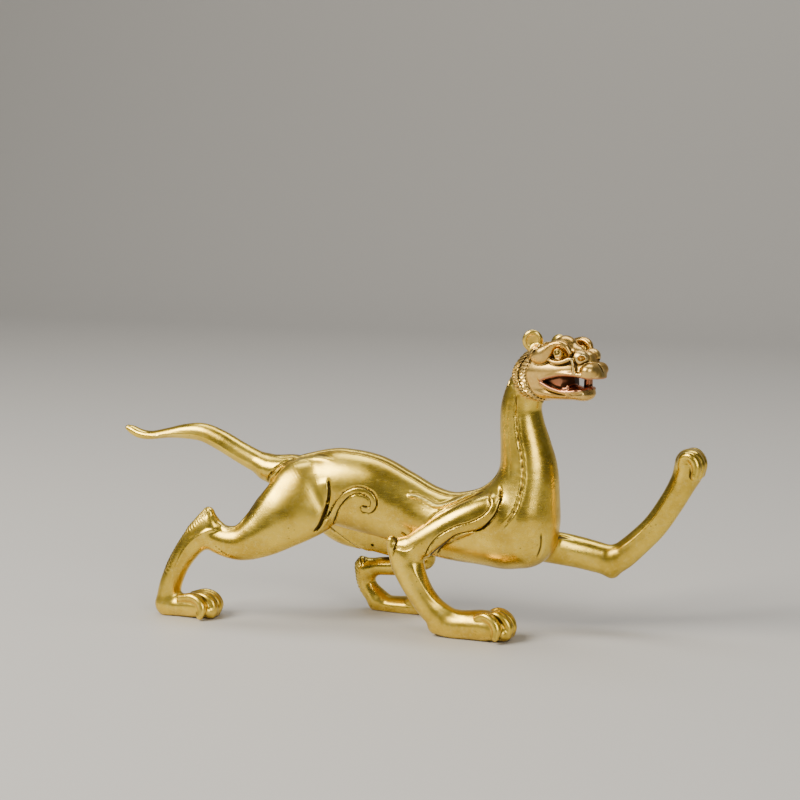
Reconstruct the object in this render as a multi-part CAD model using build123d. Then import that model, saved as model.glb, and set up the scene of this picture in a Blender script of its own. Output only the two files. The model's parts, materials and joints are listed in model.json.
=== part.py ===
from build123d import *
import math
import os

# Walking beast, a polished cast brass statuette about 260 mm long, standing on three paws
# with its left forepaw raised.
# Frame: +X is forward (the head), -X the tail, -Y the beast's right side, +Z up.
# The origin is on the ground under the middle of its bounding box.
#
# The figure is cast in sections. Each section has a round spigot that plugs into the trunk or
# the head, is crossed by a pin peened flush, and is brazed by a filler ring held in a groove.

# Joint hardware
LEG_SPIGOT_RADIUS = 4.0
NECK_SPIGOT_RADIUS = 4.4
NECK_SPIGOT_LENGTH = 10.0
TAIL_SPIGOT_RADIUS = 2.8
TAIL_SPIGOT_LENGTH = 10.0
BORE_END_GAP = 0.6              # air left past the tip of a spigot
SPIGOT_ROOT = 3.0               # how far a tail or neck spigot starts inside its own casting
TAIL_RING_INSET = 2.0           # filler ring, measured into the trunk from the joint
NECK_RING_INSET = 1.6
TAIL_PIN_INSET = 6.5            # cross pin, measured into the trunk from the joint
NECK_PIN_INSET = 6.5
CROSS_DRILL_REACH = 20.0        # the cross pins' holes start this far out to the side
PIN_RADIUS = 1.2
PIN_DRILL_DEPTH = 60.0          # drilled up from under the trunk
TAIL_PIN_RADIUS = 0.9
RING_WIDTH = 1.4                # along the spigot
RING_THICKNESS = 1.2            # from the spigot outwards
PLUG_RADIUS = 1.8
PLUG_LENGTH = 6.0
PLUG_PLACES = ((-16.0, 36.0), (22.0, 28.0))     # x, z of each plug's lower end
VENT_RADIUS = 0.7               # blind vent hole on the inner side of the left thigh
VENT_MOUTH = (-15.5, 6.0, 31.0)
VENT_DEPTH = 8.0

# Places of the joints. A leg spigot runs along Y: x, z, where it starts inside the leg, where its
# filler ring lies, and where its tip ends, all measured outwards from the centre plane.
LEG_JOINTS = {
    "right_hind_leg": (-38.0, 57.0, 15.0, 7.6, 3.2),
    "left_hind_leg": (-32.0, 57.0, 15.0, 7.6, 3.2),
    "right_foreleg": (46.0, 53.0, 13.0, 7.4, 3.2),
    "left_foreleg": (60.0, 37.5, 10.0, 3.6, -1.2),
}
TAIL_JOINT_X, TAIL_JOINT_Z = -56.0, 63.6
NECK_JOINT = (60.0, 0.0, 109.0)
NECK_JOINT_TILT = 25.0          # degrees that the joint's normal rises from level
NECK_AXIS = (math.cos(math.radians(NECK_JOINT_TILT)), 0, math.sin(math.radians(NECK_JOINT_TILT)))
NECK_AXIS_DOWN = (-NECK_AXIS[0], 0, -NECK_AXIS[2])

# Head
HEAD_ORIGIN = (57.5, 0.0, 112.5)
HEAD_YAW = -20.0                # degrees, turned towards the beast's right
HEAD_PITCH = 4.0                # degrees, nose up
EYE_RADIUS = 2.2
EYE_U, EYE_V, EYE_W = 23.4, 8.2, 8.0
EAR_PLACES = {-1: (10.0, 7.4, 13.0), 1: (12.6, 6.4, 9.6)}       # right ear pricked, left ear laid low
EAR_TURN = 20.0                 # degrees each ear is turned outwards
EAR_TENON_DEPTH, EAR_TENON_RADIUS = 7.5, 1.3
EAR_TENON_GAP = 0.1             # air left round the tenon for the solder
MOUTH_WIDTH = 40.0
FANG_U, FANG_V, FANG_FOOT_W = 26.4, 6.4, -9.6
FANG_ROOT_RADIUS, FANG_TIP_RADIUS = 1.5, 0.9
LEFT_FANG_HEIGHT, RIGHT_FANG_HEIGHT = 9.6, 4.4
EYE_PEG_RADIUS, EYE_PEG_LENGTH = 1.1, 4.4

# Toes
TOES = 4
TOE_FULLNESS = 0.66             # half width of a toe, as a share of the spacing
TOE_SETBACK = 0.45              # how far each toe sits behind its inner neighbour, in spacings
RAISED_TOE_PITCH = 3.2

# Floor
SOLE_Z = 0.0
BIG = 400.0


def section(x, y, z, tangent, lateral, height, points=12):
    """An oval face across a limb: half as wide as lateral, half as high as height."""
    plane = Plane(origin=(x, y, z), x_dir=(0, 1, 0), z_dir=tangent)
    around = [2 * math.pi * i / points for i in range(points)]
    rim = [plane.from_local_coords((lateral * math.cos(a), height * math.sin(a), 0)) for a in around]
    return Face(Wire([Edge.make_spline(rim, periodic=True)]))


def tangents(centres, first=None, last=None):
    """The direction of a centreline at each of its points, level in Y so that sections stay upright."""
    count = len(centres)
    result = []
    for i in range(count):
        ahead = centres[min(i + 1, count - 1)]
        behind = centres[max(i - 1, 0)]
        result.append((ahead[0] - behind[0], 0.0, ahead[2] - behind[2]))
    if first:
        result[0] = first
    if last:
        result[-1] = last
    return result


def limb(stations, first=None, last=None):
    """Loft ovals along a centreline. A station is (x, y, z, half height across, half width in Y)."""
    directions = tangents(stations, first, last)
    faces = [section(x, y, z, t, wide, high) for (x, y, z, high, wide), t in zip(stations, directions)]
    return loft(faces)


def ball(x, y, z, rx, ry, rz):
    """An ellipsoid."""
    return Pos(x, y, z) * scale(Sphere(1.0), by=(rx, ry, rz))


def rod(start, direction, radius, length):
    """A cylinder from a point along a direction."""
    return Plane(origin=start, z_dir=direction) * Cylinder(
        radius, length, align=(Align.CENTER, Align.CENTER, Align.MIN))


def below_floor():
    """Everything under the ground, which flattens the soles."""
    return Pos(0, 0, SOLE_Z) * Box(BIG, BIG, BIG, align=(Align.CENTER, Align.CENTER, Align.MAX))


def ring_around(start, direction, radius, offset):
    """A flat filler ring round a spigot, offset along it from the joint."""
    outer = rod(start, direction, radius + RING_THICKNESS, RING_WIDTH)
    inner = rod(start, direction, radius, RING_WIDTH)
    shift = Vector(*direction).normalized() * offset
    return Pos(shift) * (outer - inner)


def one_solid(part):
    """The largest solid of a result, so that no sliver is left beside it."""
    return max(part.solids(), key=lambda s: s.volume)


def beyond_neck_joint(direction):
    """All the space on one side of the neck joint's plane."""
    return Plane(origin=NECK_JOINT, z_dir=direction) * Box(
        BIG, BIG, BIG, align=(Align.CENTER, Align.CENTER, Align.MIN))


# ---------------------------------------------------------------- trunk and neck

def trunk_shape():
    """Rump, belly and chest. Stations give x, top, bottom and half width."""
    stations = [(TAIL_JOINT_X, 68.9, 58.3, 6.4), (-46, 71.0, 50.5, 10.0), (-34, 73.9, 43.5, 13.0),
                (-24, 74.3, 40.3, 13.8), (-12, 72.3, 38.0, 13.0), (0, 66.9, 35.5, 11.6),
                (12, 61.0, 32.0, 11.4), (24, 58.0, 29.5, 12.6), (36, 59.5, 28.4, 14.0),
                (47, 61.0, 29.0, 14.0), (57, 58.0, 33.0, 11.0)]
    rows = [(x, 0, (top + low) / 2, (top - low) / 2, wide) for x, top, low, wide in stations]
    return limb(rows, first=(1, 0, 0), last=(1, 0, 0))


def neck_shape():
    """Breast and neck, rising to the tilted joint under the head, where it is cut off square."""
    rows = [(54, 0, 32.5, 8.0, 7.5), (55, 0, 38.0, 12.0, 11.5), (55.5, 0, 45.0, 14.2, 13.6),
            (56.6, 0, 53.0, 14.5, 14.2), (58.0, 0, 62.0, 13.7, 13.2), (58.4, 0, 71.0, 12.4, 11.4),
            (57.2, 0, 80.0, 10.9, 9.8), (55.6, 0, 89.0, 9.5, 8.5), (54.8, 0, 97.0, 8.6, 7.9),
            (55.9, 0, 104.0, 9.2, 8.0), (60.0, 0, 109.0, 9.6, 8.4), (64.5, 0, 111.1, 9.6, 8.4)]
    return limb(rows, first=(0, 0, 1), last=NECK_AXIS) - beyond_neck_joint(NECK_AXIS)


def core_voids():
    """The casting core: one void in the waist of the trunk, one up the middle of the neck."""
    waist = limb([(-24, 0, 57.5, 9.0, 8.0), (-12, 0, 55.5, 12.5, 9.0), (2, 0, 50.5, 11.0, 7.8),
                  (14, 0, 46.5, 10.0, 7.6), (26, 0, 44.0, 9.5, 8.0), (34, 0, 44.0, 6.5, 6.0)],
                 first=(1, 0, 0), last=(1, 0, 0))
    throat = limb([(58, 0, 62, 7.0, 7.0), (58.4, 0, 71, 7.6, 7.0), (57.2, 0, 80, 6.6, 5.8),
                   (55.6, 0, 88, 5.4, 4.6), (55.0, 0, 93, 4.0, 3.6)],
                  first=(0, 0, 1), last=(0, 0, 1))
    return [waist, throat]


def torso_outside():
    """Trunk and neck together, without bores."""
    return one_solid(trunk_shape() + neck_shape())


# ---------------------------------------------------------------- legs

def paw(x, y, z, length, width, height, toes=TOES):
    """Four knuckled toes side by side, with the knuckle line across the front of the paw."""
    pad = width / toes
    solids = []
    for i in range(toes):
        off = i - (toes - 1) / 2
        inset = abs(off) * pad * TOE_SETBACK
        solids.append(ball(x + length / 2 - inset, y + off * pad, z, length / 2, pad * TOE_FULLNESS, height))
    return solids


def right_hind_shape():
    """Haunch, thigh, raised hock with a pointed tuft, long instep and paw."""
    thigh = limb([(-31, -8.0, 60.5, 15.0, 5.5), (-38, -11.0, 54.0, 18.0, 7.2),
                  (-46.5, -14.0, 46.6, 15.2, 8.2),
                  (-57.5, -17.0, 37.4, 10.4, 7.4), (-66.8, -18.5, 33.6, 7.8, 6.2),
                  (-77, -19.2, 35.6, 6.6, 5.2),
                  (-83, -19.4, 36.6, 5.0, 4.4)])
    instep = limb([(-77.5, -19.2, 40.5, 6.5, 4.6), (-84.5, -19.3, 36.6, 6.6, 4.9),
                   (-90.0, -19.5, 31.0, 5.6, 4.8),
                   (-95.0, -19.6, 23.0, 5.0, 4.7), (-98.8, -19.8, 14.0, 5.0, 4.9),
                   (-100.0, -20.0, 6.0, 5.6, 5.2),
                   (-99.6, -20.0, 1.0, 4.6, 4.6)])
    foot = limb([(-104.0, -20.0, 4.2, 3.6, 3.8), (-100.0, -20.0, 4.8, 5.2, 5.2),
                 (-92.0, -20.2, 4.6, 5.2, 5.8),
                 (-84.0, -20.4, 5.0, 5.4, 6.6), (-79.5, -20.4, 4.6, 4.6, 6.4)], first=(1, 0, 0),
                 last=(1, 0, 0))
    tuft = limb([(-82, -19.2, 38.5, 4.0, 3.6), (-80.4, -19.2, 44.5, 3.2, 2.8),
                 (-79.2, -19.2, 49.6, 1.0, 1.0)])
    shape = thigh + instep + foot + tuft
    for toe in paw(-84.0, -20.4, 5.0, 9.6, 13.0, 5.3):
        shape += toe
    return shape


def right_fore_shape():
    """Shoulder, upper arm, elbow with a leaf-shaped tuft, forearm and paw."""
    arm = limb([(52, -10.0, 57.0, 4.5, 4.0), (46, -12.0, 54.5, 6.8, 5.2), (36, -14.6, 50.6, 7.0, 5.6),
                (26, -16.6, 45.6, 6.6, 5.6), (17, -18.0, 39.4, 7.0, 5.6), (10, -18.6, 33.4, 7.6, 5.2)])
    forearm = limb([(8.4, -18.6, 37.4, 5.4, 4.6), (10.6, -18.8, 31.0, 7.8, 5.4),
                    (13.4, -18.8, 24.4, 6.7, 5.5),
                    (17.2, -18.6, 17.2, 5.8, 5.2), (22.0, -18.2, 11.0, 5.8, 5.2),
                    (28.6, -17.8, 6.4, 5.9, 5.4)])
    foot = limb([(21.5, -18.0, 5.8, 3.4, 3.8), (27.0, -17.8, 5.4, 5.6, 5.2), (36.0, -17.5, 5.4, 6.2, 5.8),
                 (46.0, -17.4, 6.0, 7.2, 6.8), (53.0, -17.4, 5.4, 5.6, 6.4)], first=(1, 0, 0),
                 last=(1, 0, 0))
    tuft = limb([(6.5, -18.6, 31.0, 4.2, 3.6), (4.6, -18.6, 37.0, 3.6, 3.0), (4.0, -18.6, 42.4, 1.8, 1.6)])
    shape = arm + forearm + foot + tuft
    for toe in paw(47.4, -17.4, 6.2, 10.6, 13.2, 6.6):
        shape += toe
    return shape


def left_hind_shape():
    """The hind leg that steps forward under the belly: thigh, shank, short instep and long foot."""
    thigh = limb([(-38, 9.0, 59.0, 13.0, 5.5), (-33, 11.5, 50.5, 16.0, 7.2), (-24, 14.0, 42.8, 15.0, 7.8),
                  (-12, 16.4, 35.6, 9.8, 7.0), (-1, 18.2, 29.4, 7.2, 5.8), (5, 19.2, 24.6, 5.6, 5.0)])
    shank = limb([(7.0, 19.2, 26.0, 4.8, 4.6), (0.0, 19.4, 21.6, 4.8, 4.6), (-9.0, 19.6, 20.0, 4.2, 4.2),
                  (-17.0, 19.6, 19.4, 4.2, 4.0), (-23.6, 19.6, 18.4, 3.6, 3.6)])
    instep = limb([(-22.0, 19.6, 20.4, 4.6, 3.8), (-22.4, 19.6, 15.0, 4.4, 4.2),
                   (-20.0, 19.8, 9.0, 4.4, 4.4),
                   (-15.6, 19.8, 4.4, 4.8, 4.8)])
    foot = limb([(-20.6, 19.8, 4.0, 2.4, 3.2), (-15.6, 19.8, 3.4, 4.4, 4.8), (-8.0, 19.8, 2.4, 4.2, 5.4),
                 (0.0, 19.8, 2.6, 4.2, 6.2), (5.0, 19.8, 3.0, 4.0, 6.4)], first=(1, 0, 0), last=(1, 0, 0))
    shape = thigh + shank + instep + foot
    for toe in paw(1.6, 19.8, 3.4, 9.4, 12.6, 4.6):
        shape += toe
    return shape


def left_fore_shape():
    """The raised foreleg: upper arm held forward, sharp elbow, forearm rising to a curled paw."""
    arm = limb([(53, 5.0, 37.5, 6.0, 5.0), (60, 9.5, 35.8, 6.9, 6.0), (68, 13.4, 34.6, 7.3, 6.2),
                (77, 16.6, 33.0, 7.0, 6.0), (86, 18.4, 30.6, 6.8, 5.6), (92, 19.0, 29.6, 5.0, 4.6)])
    forearm = limb([(88.0, 18.6, 26.6, 3.6, 4.4), (94.0, 19.0, 31.6, 6.2, 5.2),
                    (100.4, 19.4, 37.4, 5.9, 5.2),
                    (108.6, 19.6, 45.8, 5.6, 5.0), (115.6, 19.6, 56.6, 5.6, 5.0),
                    (120.2, 19.6, 65.0, 6.2, 5.6),
                    (123.2, 19.6, 71.4, 6.8, 6.0), (125.2, 19.6, 75.4, 4.6, 5.0)])
    shape = arm + forearm
    for i in range(TOES):
        across = 19.6 + (i - (TOES - 1) / 2) * RAISED_TOE_PITCH
        shape += ball(124.4, across, 73.2, 5.6, RAISED_TOE_PITCH * TOE_FULLNESS, 6.2)
    return shape


# ---------------------------------------------------------------- head
# Head shapes are drawn in their own frame: u forward along the muzzle, v to the beast's left,
# w up. HEAD turns that frame to its place on the neck.

HEAD = Pos(*HEAD_ORIGIN) * Rot(0, 0, HEAD_YAW) * Rot(0, -HEAD_PITCH, 0)


def head_block():
    """Skull, cheeks, muzzle and jaw as one loft. Stations give u, top, bottom and half width."""
    stations = [(-3.5, 6.0, -10.5, 7.0), (2.0, 9.2, -12.4, 9.2), (9.0, 11.6, -12.4, 10.2),
                (16.0, 13.4, -12.2, 10.0),
                (22.0, 14.2, -12.0, 9.4), (27.5, 11.0, -11.8, 8.6), (32.5, 7.4, -11.4, 8.2),
                (35.6, 4.6, -10.6, 7.0),
                (36.8, 1.6, -8.6, 4.8)]
    rows = [(u, 0, (top + low) / 2, (top - low) / 2, wide) for u, top, low, wide in stations]
    return limb(rows, first=(1, 0, 0), last=(1, 0, 0))


def mouth_cut():
    """The open mouth between the upper lip and the lower jaw, right across the head."""
    outline = Polyline((14.0, -3.4), (22.0, -1.6), (29.0, -0.6), (33.0, -2.4), (40.0, -3.8),
                       (40.0, -8.6), (21.0, -8.2), (17.0, -6.4), (14.0, -3.4))
    return extrude(Plane.XZ * make_face(outline), MOUTH_WIDTH / 2, both=True)


def tongue():
    """The tongue and the root of the jaws, which close the mouth behind."""
    return limb([(12, 0, -5.2, 4.2, 6.0), (18, 0, -5.2, 4.2, 5.6), (23.0, 0, -6.4, 2.6, 4.6),
                 (27.0, 0, -8.0, 1.4, 3.6)],
                first=(1, 0, 0), last=(1, 0, 0))


def fang(side):
    """The left fangs meet as one pillar across the mouth. The right one is a short stub below."""
    height = LEFT_FANG_HEIGHT if side > 0 else RIGHT_FANG_HEIGHT
    return Pos(FANG_U, side * FANG_V, FANG_FOOT_W) * Cone(
        FANG_ROOT_RADIUS, FANG_TIP_RADIUS, height, align=(Align.CENTER, Align.CENTER, Align.MIN))


def head_shape():
    """The whole head with brows, nose, lips, fangs and the ruff round the throat."""
    shape = head_block() - mouth_cut() + tongue()
    for side in (-1, 1):
        brow = limb([(12.5, side * 8.2, 8.8, 2.4, 2.6), (17.0, side * 8.4, 10.6, 3.0, 2.6),
                     (22.0, side * 7.8, 12.2, 2.6, 2.6), (27.0, side * 6.6, 10.4, 1.8, 2.0)])
        shape += brow
        shape += ball(32.2, side * 4.0, 5.2, 3.2, 2.6, 2.6)
        shape += ball(34.6, side * 3.6, -0.6, 2.8, 4.4, 2.9)
        shape += fang(side)
    shape += ball(33.0, 0, 4.6, 2.8, 3.4, 3.2)
    return shape


def ruff_shape():
    """The thick collar of short hair where the jaw meets the neck."""
    slope = (0.93, 0, 0.36)
    return limb([(0.5, 0, -3.0, 11.2, 10.2), (3.2, 0, -2.2, 11.4, 11.0), (6.0, 0, -1.4, 11.2, 10.8)],
                first=slope, last=slope)


def ear_leaf(side):
    """The outline of a round leaf-shaped ear, turned a little outwards."""
    leaf = scale(Sphere(1.0), by=(4.2, 1.8, 4.6))
    u, v, w = EAR_PLACES[side]
    return Pos(u, side * v, w) * Rot(0, 0, side * EAR_TURN) * leaf


def ear_peg(side, depth, radius):
    """A short upright peg under an ear, from a depth in the skull up into the leaf."""
    u, v, w = EAR_PLACES[side]
    return rod((u, side * (v - 0.4), w - depth), (0, 0, 1), radius, depth - 0.5)


def ear_shape(side):
    """The ear leaf, cupped on its outer side, on a short tenon let into the skull."""
    u, v, w = EAR_PLACES[side]
    cup = Pos(u + 1.2, side * (v + 1.7), w + 0.2) * scale(Sphere(1.0), by=(2.7, 1.2, 3.2))
    return (ear_leaf(side) - cup) + ear_peg(side, EAR_TENON_DEPTH, EAR_TENON_RADIUS)


def eye_shape(side):
    """A domed eye bead on a short peg."""
    bead = Pos(EYE_U, side * EYE_V, EYE_W) * Sphere(EYE_RADIUS)
    peg = rod((EYE_U, side * EYE_V, EYE_W), (0, -side, 0), EYE_PEG_RADIUS, EYE_PEG_LENGTH)
    return bead + peg


# ---------------------------------------------------------------- assembly

def joint(start, direction, radius, length, ring_offset):
    """The spigot, its bore and its filler ring at one joint."""
    spigot = rod(start, direction, radius, length)
    bore = rod(start, direction, radius, length + BORE_END_GAP)
    ring = ring_around(start, direction, radius, ring_offset)
    return spigot, bore, ring


def leg_joint(name):
    """A leg joint, which runs straight in towards the centre plane, and the hole for its pin."""
    x, z, start_y, ring_y, tip_y = LEG_JOINTS[name]
    side = -1 if name.startswith("right") else 1
    start = (x, side * start_y, z)
    spigot, bore, ring = joint(start, (0, -side, 0), LEG_SPIGOT_RADIUS, start_y - tip_y, start_y - ring_y)
    pin_y = (ring_y - RING_WIDTH + tip_y) / 2
    hole = rod((x, side * pin_y, z + LEG_SPIGOT_RADIUS + 1.0), (0, 0, -1), PIN_RADIUS, PIN_DRILL_DEPTH)
    return spigot, bore, ring, hole


def build():
    """Every sub-part by name, in the assembled place."""
    outside = torso_outside()
    floor = below_floor()
    torso = outside
    for core in core_voids():
        torso -= core
    parts = {}

    legs = {
        "right_hind_leg": right_hind_shape(),
        "left_hind_leg": left_hind_shape(),
        "right_foreleg": right_fore_shape(),
        "left_foreleg": left_fore_shape(),
    }
    vent = rod(VENT_MOUTH, (0, 1, 0), VENT_RADIUS, VENT_DEPTH)
    legs["left_hind_leg"] -= vent
    for name, shape in legs.items():
        spigot, bore, ring, drill = leg_joint(name)
        leg = one_solid(shape - floor - outside) + spigot - drill
        parts[name] = one_solid(leg)
        torso = torso - bore - ring - drill
        parts[name + "_ring"] = ring
        parts[name + "_pin"] = drill & outside

    tail = limb([(TAIL_JOINT_X, 0, TAIL_JOINT_Z, 5.3, 6.4), (-66, 0, 66.5, 5.0, 5.4),
                 (-74, 0, 70.4, 4.7, 4.9),
                 (-83, 0, 75.0, 4.6, 4.6), (-91.5, 0, 78.3, 4.3, 4.4), (-100, 0, 78.7, 3.3, 3.9),
                 (-109, 0, 77.3, 2.0, 3.4), (-117, 0, 75.9, 1.9, 3.2), (-123.4, 0, 76.4, 2.2, 2.9),
                 (-128.0, 0, 78.6, 1.7, 2.2), (-129.8, 0, 79.8, 0.8, 1.0)], first=(-1, 0, 0))
    spigot, bore, ring = joint((TAIL_JOINT_X - SPIGOT_ROOT, 0, TAIL_JOINT_Z), (1, 0, 0), TAIL_SPIGOT_RADIUS,
                               TAIL_SPIGOT_LENGTH + SPIGOT_ROOT, SPIGOT_ROOT + TAIL_RING_INSET)
    drill = rod((TAIL_JOINT_X + TAIL_PIN_INSET, CROSS_DRILL_REACH, TAIL_JOINT_Z), (0, -1, 0),
                TAIL_PIN_RADIUS, 2 * CROSS_DRILL_REACH)
    parts["tail"] = one_solid(tail - outside + spigot - drill)
    torso = torso - bore - ring - drill
    parts["tail_ring"] = ring
    parts["tail_pin"] = drill & outside

    head = HEAD * (head_shape() + ruff_shape()) - beyond_neck_joint(NECK_AXIS_DOWN)
    start = tuple(NECK_JOINT[i] + NECK_AXIS[i] * SPIGOT_ROOT for i in range(3))
    spigot, bore, ring = joint(start, NECK_AXIS_DOWN, NECK_SPIGOT_RADIUS,
                               NECK_SPIGOT_LENGTH + SPIGOT_ROOT, SPIGOT_ROOT + NECK_RING_INSET)
    pin_x = NECK_JOINT[0] - NECK_AXIS[0] * NECK_PIN_INSET
    pin_z = NECK_JOINT[2] - NECK_AXIS[2] * NECK_PIN_INSET
    drill = rod((pin_x, CROSS_DRILL_REACH, pin_z), (0, -1, 0), PIN_RADIUS, 2 * CROSS_DRILL_REACH)
    head = one_solid(one_solid(head) + spigot - drill)
    torso = torso - bore - ring - drill
    parts["neck_ring"] = ring
    parts["neck_pin"] = drill & outside
    for side, word in ((-1, "right"), (1, "left")):
        eye = HEAD * eye_shape(side)
        hole = HEAD * ear_peg(side, EAR_TENON_DEPTH + BORE_END_GAP, EAR_TENON_RADIUS + EAR_TENON_GAP)
        head = one_solid(head - hole - HEAD * ear_leaf(side) - eye)
        parts[word + "_ear"] = one_solid(HEAD * ear_shape(side))
        parts[word + "_eye"] = one_solid(eye)
    parts["head"] = head

    plugs = []
    for x, z in PLUG_PLACES:
        plug = rod((x, 0, z), (0, 0, 1), PLUG_RADIUS, PLUG_LENGTH)
        plugs.append(plug & torso)
        torso = torso - plug
    parts["core_plugs"] = Compound(children=[s for p in plugs for s in p.solids()])
    parts["torso"] = one_solid(torso)
    return parts


os.makedirs("parts", exist_ok=True)
for node, shape in build().items():
    export_step(shape, f"parts/{node}.step")
    solids = shape.solids()
    box = shape.bounding_box()
    print(f"{node:24s} solids {len(solids)} volume {sum(s.volume for s in solids):9.1f}  "
          f"x {box.min.X:7.2f} {box.max.X:7.2f}  y {box.min.Y:6.2f} {box.max.Y:6.2f}  "
          f"z {box.min.Z:6.2f} {box.max.Z:6.2f}")
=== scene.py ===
"""Polished brass statuette of a striding beast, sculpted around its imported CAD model.

Shapes are drawn in millimetres as distance fields: negative inside, positive outside. Each casting
is meshed from those fields, so that its joint faces meet its neighbours, and then scaled to metres.
"""
import math
import json
from concurrent.futures import ThreadPoolExecutor
import bpy
import numpy as np
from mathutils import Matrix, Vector

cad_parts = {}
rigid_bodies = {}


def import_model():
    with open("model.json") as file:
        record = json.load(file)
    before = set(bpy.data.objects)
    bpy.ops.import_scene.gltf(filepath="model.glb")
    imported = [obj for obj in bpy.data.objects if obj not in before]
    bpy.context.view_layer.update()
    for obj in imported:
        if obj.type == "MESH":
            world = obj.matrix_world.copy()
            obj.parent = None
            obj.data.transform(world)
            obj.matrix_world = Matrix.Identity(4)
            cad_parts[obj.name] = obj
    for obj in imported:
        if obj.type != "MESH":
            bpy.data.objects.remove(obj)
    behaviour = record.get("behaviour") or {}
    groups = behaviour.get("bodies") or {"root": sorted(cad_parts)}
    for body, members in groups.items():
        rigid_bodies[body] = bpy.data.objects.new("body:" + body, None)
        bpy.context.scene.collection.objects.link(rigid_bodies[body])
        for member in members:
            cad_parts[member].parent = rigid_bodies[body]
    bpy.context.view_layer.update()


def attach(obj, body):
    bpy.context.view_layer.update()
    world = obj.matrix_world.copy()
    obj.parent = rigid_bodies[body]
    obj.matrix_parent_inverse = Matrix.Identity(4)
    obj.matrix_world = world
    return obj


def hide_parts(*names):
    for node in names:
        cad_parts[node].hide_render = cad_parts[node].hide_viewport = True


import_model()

MM = 0.001
FAR = 60.0                              # the value of a field well away from its shape
workers = ThreadPoolExecutor(4)
ROUGH = 1.0

# ------------------------------------------------------------------ distance-field tools


def smooth_step(low, high, x):
    t = np.clip((x - low) / (high - low), 0.0, 1.0)
    return t * t * (3.0 - 2.0 * t)


def join(a, b, k):
    """Smooth union of two fields, with a fillet about k wide."""
    h = np.clip(0.5 + 0.5 * (b - a) / k, 0.0, 1.0)
    return b + (a - b) * h - k * h * (1.0 - h)


def carve(a, b, k):
    """Field a with b cut out of it, the edge softened over k."""
    return -join(-a, b, k)


def spline(points, samples):
    """Points of a Catmull-Rom curve through rows of numbers."""
    p = np.asarray(points, float)
    p = np.vstack([2 * p[0] - p[1], p, 2 * p[-1] - p[-2]])
    t = np.linspace(0.0, 1.0, samples, endpoint=False)[:, None]
    rows = []
    for i in range(1, len(p) - 2):
        a, b, c, d = p[i - 1], p[i], p[i + 1], p[i + 2]
        rows.append(0.5 * (2 * b + (c - a) * t + (2 * a - 5 * b + 4 * c - d) * t ** 2
                           + (3 * b - a - 3 * c + d) * t ** 3))
    rows.append(p[-2][None])
    return np.vstack(rows)


def nearest_on(points, path):
    """For each point: the nearest segment of a path, how far along it, and the squared distance."""
    corner = np.argmin((path ** 2).sum(1) - 2.0 * points @ path.T, axis=1)
    last = len(path) - 2
    found = []
    for segment in (np.clip(corner - 1, 0, last), np.clip(corner, 0, last)):
        a = path[segment]
        ab = path[segment + 1] - a
        rel = points - a
        t = np.clip((rel * ab).sum(1) / np.maximum((ab * ab).sum(1), 1e-9), 0.0, 1.0)
        rel -= t[:, None] * ab
        found.append((segment, t, (rel * rel).sum(1)))
    second = found[1][2] < found[0][2]
    return [np.where(second, b, a) for a, b in zip(*found)]


class Limb:
    """A tube along a drawn centreline with oval sections that change along it.

    A station is x, y, z, the radius across the centreline in the XZ plane, and the radius in Y.
    """

    def __init__(self, stations, samples=10, margin=6.0):
        rows = spline(stations, samples)
        self.path = rows[:, :3]
        self.high = rows[:, 3]
        self.wide = rows[:, 4]
        step = np.gradient(self.path, axis=0)
        self.tangent = step / np.linalg.norm(step, axis=1)[:, None]
        side = np.array([0.0, 1.0, 0.0]) - self.tangent[:, 1:2] * self.tangent
        self.side = side / np.linalg.norm(side, axis=1)[:, None]
        self.across = np.cross(self.tangent, self.side)
        reach = max(self.high.max(), self.wide.max()) + margin
        self.low = self.path.min(0) - reach
        self.top = self.path.max(0) + reach

    def __call__(self, p):
        out = np.full(len(p), FAR)
        near = np.all((p > self.low) & (p < self.top), axis=1)
        if not near.any():
            return out
        q = p[near]
        i, t, _ = nearest_on(q, self.path)
        t1 = t[:, None]

        def at(values):
            w = t if values.ndim == 1 else t1
            return values[i] * (1 - w) + values[i + 1] * w

        v = q - at(self.path)
        high, wide = at(self.high), at(self.wide)
        end = np.minimum(high, wide)
        a = np.einsum("ij,ij->i", v, at(self.side))
        b = np.einsum("ij,ij->i", v, at(self.across))
        c = np.einsum("ij,ij->i", v, at(self.tangent))
        k0 = np.sqrt((a / wide) ** 2 + (b / high) ** 2 + (c / end) ** 2)
        k1 = np.sqrt((a / wide ** 2) ** 2 + (b / high ** 2) ** 2 + (c / end ** 2) ** 2)
        out[near] = k0 * (k0 - 1.0) / np.maximum(k1, 1e-6)
        return out


def ball(p, centre, radii, turn=None):
    """An ellipsoid. turn is a matrix whose columns are its own axes."""
    q = p - np.asarray(centre, float)
    if turn is not None:
        q = q @ turn
    r = np.asarray(radii, float)
    k0 = np.linalg.norm(q / r, axis=1)
    k1 = np.linalg.norm(q / r ** 2, axis=1)
    return k0 * (k0 - 1.0) / np.maximum(k1, 1e-6)


def tube(p, a, b, ra, rb):
    """A straight round rod from a to b whose radius runs from ra to rb."""
    a, b = np.asarray(a, float), np.asarray(b, float)
    ab = b - a
    rel = p - a
    t = np.clip(rel @ ab / (ab @ ab), 0.0, 1.0)
    return np.linalg.norm(rel - t[:, None] * ab, axis=1) - (ra + (rb - ra) * t)


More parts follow.
